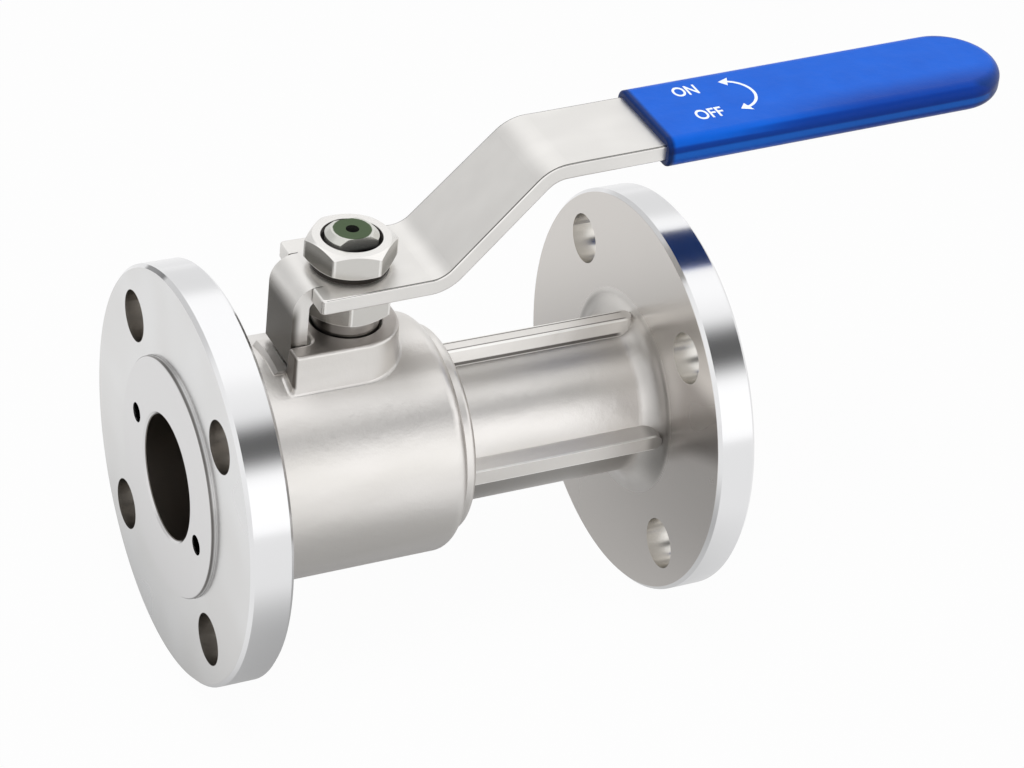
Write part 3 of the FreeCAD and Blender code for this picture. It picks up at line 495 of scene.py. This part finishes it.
def makeNutFinish(name, v):
    low, high = (corner.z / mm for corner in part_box(name))
    facing, share = v["facing"][name]
    f = Finish(name + "_steel")
    f.radius = (f.x * f.x + f.y * f.y) ** 0.5
    fall = (f.radius - v["face"]).most(0) * v["chamfer"]
    start, whole = v["endGaps"]
    ends = (f.z + fall).rise(high - start, high - whole).most((f.z - fall).rise(low + start, low + whole))
    turn = (f.y.angle(f.x) - facing) * math.radians(v["pairs"])
    # painted light and shade on the facets
    facetShade = turn.maths("COSINE").rise(*v["turnOver"]) * share
    rings = f.radius.noise(*v["rings"], flat=True)
    clouds = f.place.noise(*v["clouds"])
    drawn = f.place.stretched(v["drawnStretch"]).noise(*v["drawn"])
    cloudy, evenly, lower = v["facetShadeTones"]
    top, deep = v["facetShadeDepths"]
    facetShade = facetShade * (clouds * cloudy + evenly + f.z.rise(high - top, high - deep) * lower)
    colour = facetShade.between(v["colour"], v["facetShadeColour"])
    # painted highlight on the corners
    colour = f.mark(*v["edges"]).between(colour, v["cornerHighlight"])
    colour = ends.between(colour, v["topColour"])
    colour = f.inside(v["mouth"]).between(colour, v["mouthShadeColour"])
    height = ends * rings * v["ringHeight"] + (1 - ends) * drawn * v["drawnHeight"]
    return f.shade(colour, v["rough"] + clouds * v["cloudRough"], height, Metallic=1.0)


for name in nut["facing"]:
    dress(name, makeNutFinish(name, nut))

# stem: bright steel with a dull green end
stem = {
    "colour": screen(206, 206, 200),
    "sideShadeColour": screen(38, 36, 33),
    "endColour": screen(72, 89, 62),
    "holeColour": screen(6, 6, 6),
    # millimetres: the stem's top is at 77.1
    # painted shade on the stem's side, down in the nut's mouth
    "side": ("z", 74.1, 72.5),
    "end": [("z", 76.85, 77.0), ("ragged", 6.1, 5.8)],
    # painted shade: the hole in the stem's top is near black
    "hole": [("radius", 2.05, 1.9), ("z", 71.1, 71.6)],
    "fog": (0.9, 3, 0.6),
    "fogRagged": 0.5,
    "fogHeight": 0.01,
    "fogRough": 0.06,
    "endRough": 0.25,
    "rough": 0.22,
}


def makeStemFinish(v):
    f = Finish("stem_steel")
    f.radius = (f.x * f.x + f.y * f.y) ** 0.5
    fog = f.place.noise(*v["fog"])
    f.ragged = f.radius + fog * v["fogRagged"]
    end = f.inside(*v["end"])
    colour = f.inside(v["side"]).between(v["colour"], v["sideShadeColour"])
    colour = end.between(colour, v["endColour"])
    colour = f.inside(*v["hole"]).between(colour, v["holeColour"])
    rough = v["rough"] + end * v["endRough"] + fog * v["fogRough"]
    return f.shade(colour, rough, fog * v["fogHeight"], Metallic=0.75)


dress("stem", makeStemFinish(stem))
print("steel trim dressed")

# lever: satin strap with sheared edges
lever = {
    "colour": screen(229, 227, 224),
    "dullColour": screen(223, 221, 218),
    # the strap narrows evenly from the head's half width to the upper strap's, between the two ends of its taper
    "headHalf": 16.8,
    "strapHalf": 15.0,
    "taper": (-11.4, 64.7),
    "edges": [("inward", 0.75, 0.6), ("inward", 0.03, 0.08)],
    # painted shade on the tab's outer face, which is at -21.0, then a painted dark reflection along the edges
    "marks": [
        (screen(100, 97, 92), 1.0, ("x", -18.0, -20.7), ("z", 62, 55)),
        (screen(66, 63, 60), 0.9, ("inward", 0.42, 0.10, 0.14), ("x", -8, 2)),
    ],
    "grain": (2.0, 4, 0.65),
    "grainStretch": (0.10, 1, 1),
    "grainHeight": 0.005,
    "grainRough": 0.08,
    "clouds": (0.06, 2, 0.5),
    "cloudStretch": (0.6, 1, 1),
    "cloudTones": (0.35, 0.65),
    "cloudRough": 0.05,
    "pits": (2.2, 2, 0.5),
    "pitHeight": 0.005,
    "rough": 0.32,
    "edgeRough": 0.14,
}


def makeLeverFinish(v):
    f = Finish("strap_steel")
    start, stop = v["taper"]
    half = v["headHalf"] - (f.x - start) * ((v["headHalf"] - v["strapHalf"]) / (stop - start))
    f.inward = half.least(v["headHalf"]).most(v["strapHalf"]) - abs(f.y)
    edges = f.inside(*v["edges"])
    grain = f.place.stretched(v["grainStretch"]).noise(*v["grain"])
    clouds = f.place.stretched(v["cloudStretch"]).noise(*v["clouds"])
    pits = f.place.noise(*v["pits"])
    colour = clouds.rise(*v["cloudTones"]).between(v["dullColour"], v["colour"])
    # painted shade on the tab and a painted dark reflection along the edges
    colour = f.painted(colour, v["marks"])
    height = grain * v["grainHeight"] + pits * v["pitHeight"]
    rough = (v["rough"] + grain * v["grainRough"] + clouds * v["cloudRough"]) * (1 - edges)
    return f.shade(colour, rough + edges * v["edgeRough"], height, Metallic=1.0)


dress("lever", makeLeverFinish(lever))

# grip: dipped vinyl sleeve
grip = {
    "colour": screen(0, 98, 216),
    "deepColour": screen(0, 89, 202),
    "lineShadeColour": screen(0, 52, 146),
    "lipShadeColour": screen(0, 28, 78),
    # level is the height above the strap's top face, from the second bend's corner on
    "corner": (54.7, 97.1),
    "slope": math.tan(math.radians(1.5)),
    "endMiddle": 197.5,
    # in turn, all painted light: shade on the near side of the top, shade on the round end, a highlight along the
    # middle of the sides, and shade underneath
    "marks": [
        (screen(0, 55, 152), 0.85, ("y", -4, -15), ("x", 115, 165)),
        (screen(2, 52, 126), 1.0, ("fromEnd", 12.0, 15.8), ("x", 196, 200)),
        (screen(34, 118, 226), 0.6, ("level", -2.8, 0.5, 1.1), ("across", 15.0, 16.4)),
        (screen(4, 58, 132), 1.0, ("level", -5.0, -7.0)),
    ],
    # a painted shade line runs at its level round the sides and the end, and along the near edge
    "lineLevel": ("level", -0.8, 0.5, 0.9),
    "lineSides": ("across", 14.6, 16.4),
    "lineEnd": ("x", 208, 211),
    "lineNear": [("y", -15.4, -16.2), ("level", -1.6, -0.8), ("x", 105, 140)],
    "lineShadeShare": 0.8,
    # painted shade at the sleeve's start
    "lip": (0.9, ("x", 94.6, 92.9)),  # the sleeve starts at 92.0
    "pebble": (1.4, 2, 0.5),
    "pebbleHeight": 0.03,
    "pebbleRough": 0.06,
    "waves": (0.12, 2, 0.5),
    "waveHeight": 0.25,
    "rough": 0.30,
    "shine": 0.13,
}


def makeGripFinish(v):
    f = Finish("grip_vinyl")
    f.across = abs(f.y)
    f.level = f.z - v["corner"][1] - (f.x - v["corner"][0]) * v["slope"]
    f.fromEnd = ((f.x - v["endMiddle"]) ** 2 + f.y * f.y) ** 0.5
    pebble = f.place.noise(*v["pebble"])
    waves = f.place.noise(*v["waves"])
    # painted shade line round the top's edge
    shadeLine = f.inside(v["lineLevel"]) * f.inside(v["lineSides"]).most(f.inside(v["lineEnd"]))
    shadeLine = shadeLine.most(f.inside(*v["lineNear"]))
    colour = waves.between(v["colour"], v["deepColour"])
    # painted shade and highlight on the grip
    colour = f.painted(colour, v["marks"])
    colour = (shadeLine * v["lineShadeShare"]).between(colour, v["lineShadeColour"])
    colour = f.mark(*v["lip"]).between(colour, v["lipShadeColour"])
    height = pebble * v["pebbleHeight"] + waves * v["waveHeight"]
    return f.shade(colour, v["rough"] + pebble * v["pebbleRough"], height, Specular_IOR_Level=v["shine"])


dress("grip", makeGripFinish(grip))

# seats, seals and packing, inside the body
seals = {
    "pieces": {
        "inlet_seat": {"colour": screen(232, 230, 224), "rough": 0.42},
        "outlet_seat": {"colour": screen(232, 230, 224), "rough": 0.42},
        "thrust_washer": {"colour": screen(224, 222, 214), "rough": 0.45},
        "packing_base_ring": {"colour": screen(226, 224, 216), "rough": 0.45},
        "packing_v_ring_lower": {"colour": screen(226, 224, 216), "rough": 0.45},
        "packing_v_ring_middle": {"colour": screen(226, 224, 216), "rough": 0.45},
        "packing_v_ring_upper": {"colour": screen(226, 224, 216), "rough": 0.45},
        "stem_o_ring": {"colour": screen(26, 26, 27), "rough": 0.5},
        "retainer_gasket": {"colour": screen(58, 58, 60), "rough": 0.6},
    },
    "fine": (3.0, 3, 0.6),
    "fineHeight": 0.01,
    "fineRough": 0.1,
    "clouds": (0.3, 3, 0.6),
    "cloudDim": 0.88,
}


def makeSealFinish(name, piece, v):
    f = Finish(name + "_finish")
    fine = f.place.noise(*v["fine"])
    clouds = f.place.noise(*v["clouds"])
    colour = clouds.between(piece["colour"], dimmed(piece["colour"], v["cloudDim"]))
    return f.shade(colour, piece["rough"] + fine * v["fineRough"], fine * v["fineHeight"])


for name, piece in seals["pieces"].items():
    dress(name, makeSealFinish(name, piece, seals))
print("seals dressed")

# print on the grip: the two words and the curved arrow between them
marking = {
    "origin": (54.7, 0.0, 97.1),  # second bend's corner, on the strap's top face
    "tilt": 1.5,
    # millimetres: the grip's top above the strap's, and how thick the ink is
    "level": 2.3,
    "proud": 0.04,
    "ink": screen(238, 246, 252),
    "thinInk": screen(206, 222, 244),
    "wear": (1.2, 4, 0.7),
    "wearTones": (0.62, 0.80),
    "wearRough": 0.1,
    "wearHeight": 0.01,
    "rough": 0.45,
    # each word, and its middle along and across the strap
    "words": {"word_on": ("ON", 55.2, 8.1), "word_off": ("OFF", 56.2, -5.8)},
    "cap": 5.0,
    "capOfSize": 0.69,
    "narrow": 0.73,
    "bold": 0.13,
    "curveSteps": 8,
    "arc": {
        "middle": (66.9, 1.9),
        "radius": 8.0,
        "from": -92.0,
        "to": 88.0,
        "steps": 33,
        "stroke": 0.46,
        "head": 2.2,
        "headTurn": 21.0,
        "tip": 0.02,
    },
}


# takes points in the upper strap's frame (along it, across it, above its top face) to the part's frame
def strapPlace(v):
    turn = Matrix.Rotation(-math.radians(v["tilt"]), 4, "Y")
    return Matrix.Translation(Vector(v["origin"]) * mm) @ turn @ Matrix.Scale(mm, 4)


def makeInkFinish(v):
    f = Finish("print_ink")
    worn = f.place.noise(*v["wear"])
    colour = worn.rise(*v["wearTones"]).between(v["ink"], v["thinInk"])
    return f.shade(colour, v["rough"] + worn * v["wearRough"], worn * v["wearHeight"])


inkFinish = makeInkFinish(marking)


def addPrint(name, mesh):
    mesh.name = name
    mesh.materials.clear()
    mesh.materials.append(inkFinish)
    made = addObject(name, mesh)
    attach(made, "operator")


def addWord(name, text, middle, v):
    curve = bpy.data.curves.new(name, "FONT")
    curve.body = text
    curve.align_x = "CENTER"
    curve.align_y = "CENTER"
    curve.size = v["cap"] / v["capOfSize"]
    curve.offset = v["bold"]
    curve.extrude = v["proud"] / 2
    curve.resolution_u = v["curveSteps"]
    holder = addObject(name, curve)
    bpy.context.view_layer.update()
    mesh = bpy.data.meshes.new_from_object(holder.evaluated_get(bpy.context.evaluated_depsgraph_get()))
    bpy.data.objects.remove(holder)
    lift = Matrix.Translation((*middle, v["level"] + v["proud"] / 2))
    mesh.transform(strapPlace(v) @ lift @ Matrix.Diagonal((v["narrow"], 1, 1, 1)))
    addPrint(name, mesh)


for name, (text, along, across) in marking["words"].items():
    addWord(name, text, (along, across), marking)


# the arrow's top face is a strip along an arc: each station has the arc's point and a half width along the radius,
# nothing at a tip, growing evenly to the head's half width and then dropping to the stroke's
def addArrow(v):
    arc = v["arc"]
    start, stop, head = arc["from"], arc["to"], arc["headTurn"]
    turns = np.linspace(start + head, stop - head, arc["steps"])
    turns = np.radians(np.concatenate([[start, start + head], turns, [stop - head, stop]]))
    halves = np.full(len(turns), arc["stroke"])
    halves[[0, -1]] = arc["tip"]
    halves[[1, -2]] = arc["head"]
    spread = arc["radius"] + np.array([-1.0, 1.0])[:, None] * halves
    flat = np.stack([arc["middle"][0] + spread * np.cos(turns), arc["middle"][1] + spread * np.sin(turns)], -1)
    flat = flat.reshape(-1, 2)
    levels = v["level"] + np.array([0.0, v["proud"]])
    points = np.concatenate([np.column_stack([flat, np.full(len(flat), level)]) for level in levels])
    count = len(turns)
    top = 2 * count
    low = np.arange(count - 1)
    high = low + count
    faces = np.concatenate([
        np.column_stack([low + top, high + top, high + 1 + top, low + 1 + top]),
        np.column_stack([low, low + 1, high + 1, high]),
        np.column_stack([low, low + top, low + 1 + top, low + 1]),
        np.column_stack([high, high + 1, high + 1 + top, high + top]),
        [[0, count, count + top, top], [count - 1, count - 1 + top, 2 * count - 1 + top, 2 * count - 1]],
    ])
    mesh = bpy.data.meshes.new("turn_arrow")
    mesh.from_pydata(points.tolist(), [], faces.tolist())
    mesh.transform(strapPlace(v))
    mesh.update()
    addPrint("turn_arrow", mesh)


addArrow(marking)
print("grip printed")

# studio: pale floor, soft lamps, white surroundings, and a dome that only reflections see
studio = {
    "floorLevel": -63.5,
    "floorSize": 8.0,
    "floorColour": (0.50, 0.50, 0.50, 1),
    "floorWhite": 0.97,
    "floorShine": 0.80,
    # under the part the floor has a painted shadow that only reflections see: a rounded oblong, in millimetres, that
    # grows bright around it
    "reflectedShadow": {
        "middle": 30,
        "long": 75,
        "broad": 100,
        "corners": 4,
        "spread": (0.75, 1.8),
        "low": 0.47,
        "outlet": (0.22, ("x", 40, 95)),
        "inlet": (0.24, ("x", -52, -76)),
        "high": 1.10,
    },
    "ambient": 0.40,
    "lamps": {
        "top": {"place": (-0.2, -0.3, 1.7), "size": 1.1, "power": 21},
        "right": {"place": (1.3, -0.9, 0.9), "size": 0.9, "power": 2},
    },
    "aim": (0.05, 0.0, 0.01),
    "dome": {
        "radius": 3.0,
        "grid": (96, 48),
        "glow": 1.05,
        # each zone: azimuth, half width and blur, elevation, half width and blur, and the glow there
        "zones": [
            (-60, 60, 30, 6, 18, 12, 1.32),
            (60, 70, 40, 62, 22, 10, 1.25),
            (62, 30, 20, 18, 10, 8, 0.90),
            (128, 22, 16, 23, 14, 8, 0.74),
            (-57, 14, 14, 42.5, 4, 11, 0.08),
        ],
    },
}


# 1 for the named kinds of ray, 0 for the others
def rayShare(tree, *kinds):
    shares = [Field(tree).make("ShaderNodeLightPath", output=kind) for kind in kinds]
    return functools.reduce(Field.most, shares)


def addStage(name, material, points, faces):
    mesh = bpy.data.meshes.new(name)
    mesh.from_pydata(points, [], faces)
    mesh.materials.append(material)
    made = addObject(name, mesh)
    return made


# a grey matt floor that takes the lamps' shadow; what looks straight at it sees near white, and what shines sees tone
# with a painted shadow under the part
def makeFloor(v):
    f = Finish("pale_floor")
    reflectedShadow = v["reflectedShadow"]
    glossy = rayShare(f.tree, "Is Glossy Ray")
    seen = rayShare(f.tree, "Is Camera Ray", "Is Transmission Ray") * v["floorWhite"]
    seen = seen.most(glossy * v["floorShine"])
    along, across = abs(f.x - reflectedShadow["middle"]) / reflectedShadow["long"], abs(f.y) / reflectedShadow["broad"]
    low = f.mark(*reflectedShadow["outlet"]) + f.mark(*reflectedShadow["inlet"]) + reflectedShadow["low"]
    tone = (along ** reflectedShadow["corners"] + across ** reflectedShadow["corners"]) ** (1 / reflectedShadow["corners"])
    tone = tone.rise(*reflectedShadow["spread"]) * (reflectedShadow["high"] - low) + low
    white = (glossy * (tone - 1) + 1).glowing()
    matt = white.make("ShaderNodeBsdfDiffuse", None, {"Color": v["floorColour"]})
    matt.make("ShaderNodeMixShader", None, {0: seen, 1: matt, 2: white}).show()
    half, level = v["floorSize"] / 2, v["floorLevel"] * mm
    corners = [(-half, -half, level), (half, -half, level), (half, half, level), (-half, half, level)]
    addStage("floor", f.material, corners, [range(len(corners))])


def makeWorld(v):
    world = bpy.data.worlds.new("studio")
    world.use_nodes = True
    tree = world.node_tree
    backdrop = tree.nodes["Background"]
    backdrop.inputs["Color"].default_value = (1, 1, 1, 1)
    seen = rayShare(tree, "Is Camera Ray", "Is Glossy Ray", "Is Transmission Ray")
    strength = seen * (1 - v["ambient"]) + v["ambient"]
    tree.links.new(strength.socket, backdrop.inputs["Strength"])
    bpy.context.scene.world = world


# lamps light the matt surfaces; what shines reflects the dome instead
def addLamp(name, lamp, aim):
    data = bpy.data.lights.new(name, "AREA")
    data.shape = "DISK"
    data.size = lamp["size"]
    data.energy = lamp["power"]
    made = addObject(name, data)
    place = Vector(lamp["place"])
    made.matrix_world = Matrix.Translation(place) @ (place - Vector(aim)).to_track_quat("Z", "Y").to_matrix().to_4x4()
    made.visible_glossy = False


# the studio's softboxes and dark gaps, as a glow that changes with the direction on a large dome: a sphere of rows
# from the bottom to the top, each point at the cosine and sine of its turn and its rise
def makeDome(v):
    f = Finish("dome_glow")
    flat = (f.x * f.x + f.y * f.y) ** 0.5
    azimuth, elevation = f.y.angle(f.x), f.z.angle(flat)
    glow = v["glow"]
    for side, sideHalf, sideBlur, height, heightHalf, heightBlur, level in v["zones"]:
        zone = azimuth.band(side, sideHalf, sideBlur) * elevation.band(height, heightHalf, heightBlur)
        glow = glow + zone * (level - glow)
    glow.glowing().show()
    around, up = v["grid"]
    turns = np.linspace(0, 2 * np.pi, around, endpoint=False)
    turns, rises = np.meshgrid(turns, np.linspace(-np.pi / 2, np.pi / 2, up))
    points = v["radius"] * np.stack([np.cos(rises) * np.cos(turns), np.cos(rises) * np.sin(turns), np.sin(rises)], -1)
    row, column = np.meshgrid(np.arange(up - 1), np.arange(around), indexing="ij")
    following = (column + 1) % around
    faces = np.stack([row, row, row + 1, row + 1], -1) * around + np.stack([column, following, following, column], -1)
    dome = addStage("dome", f.material, points.reshape(-1, 3).tolist(), faces.reshape(-1, 4).tolist())
    dome.visible_camera = False
    dome.visible_diffuse = False
    dome.visible_shadow = False
    dome.visible_transmission = False


makeFloor(studio)
makeWorld(studio)
for name, lamp in studio["lamps"].items():
    addLamp(name, lamp, studio["aim"])
makeDome(studio["dome"])

bpy.context.scene.view_settings.view_transform = "Standard"
print("studio made")
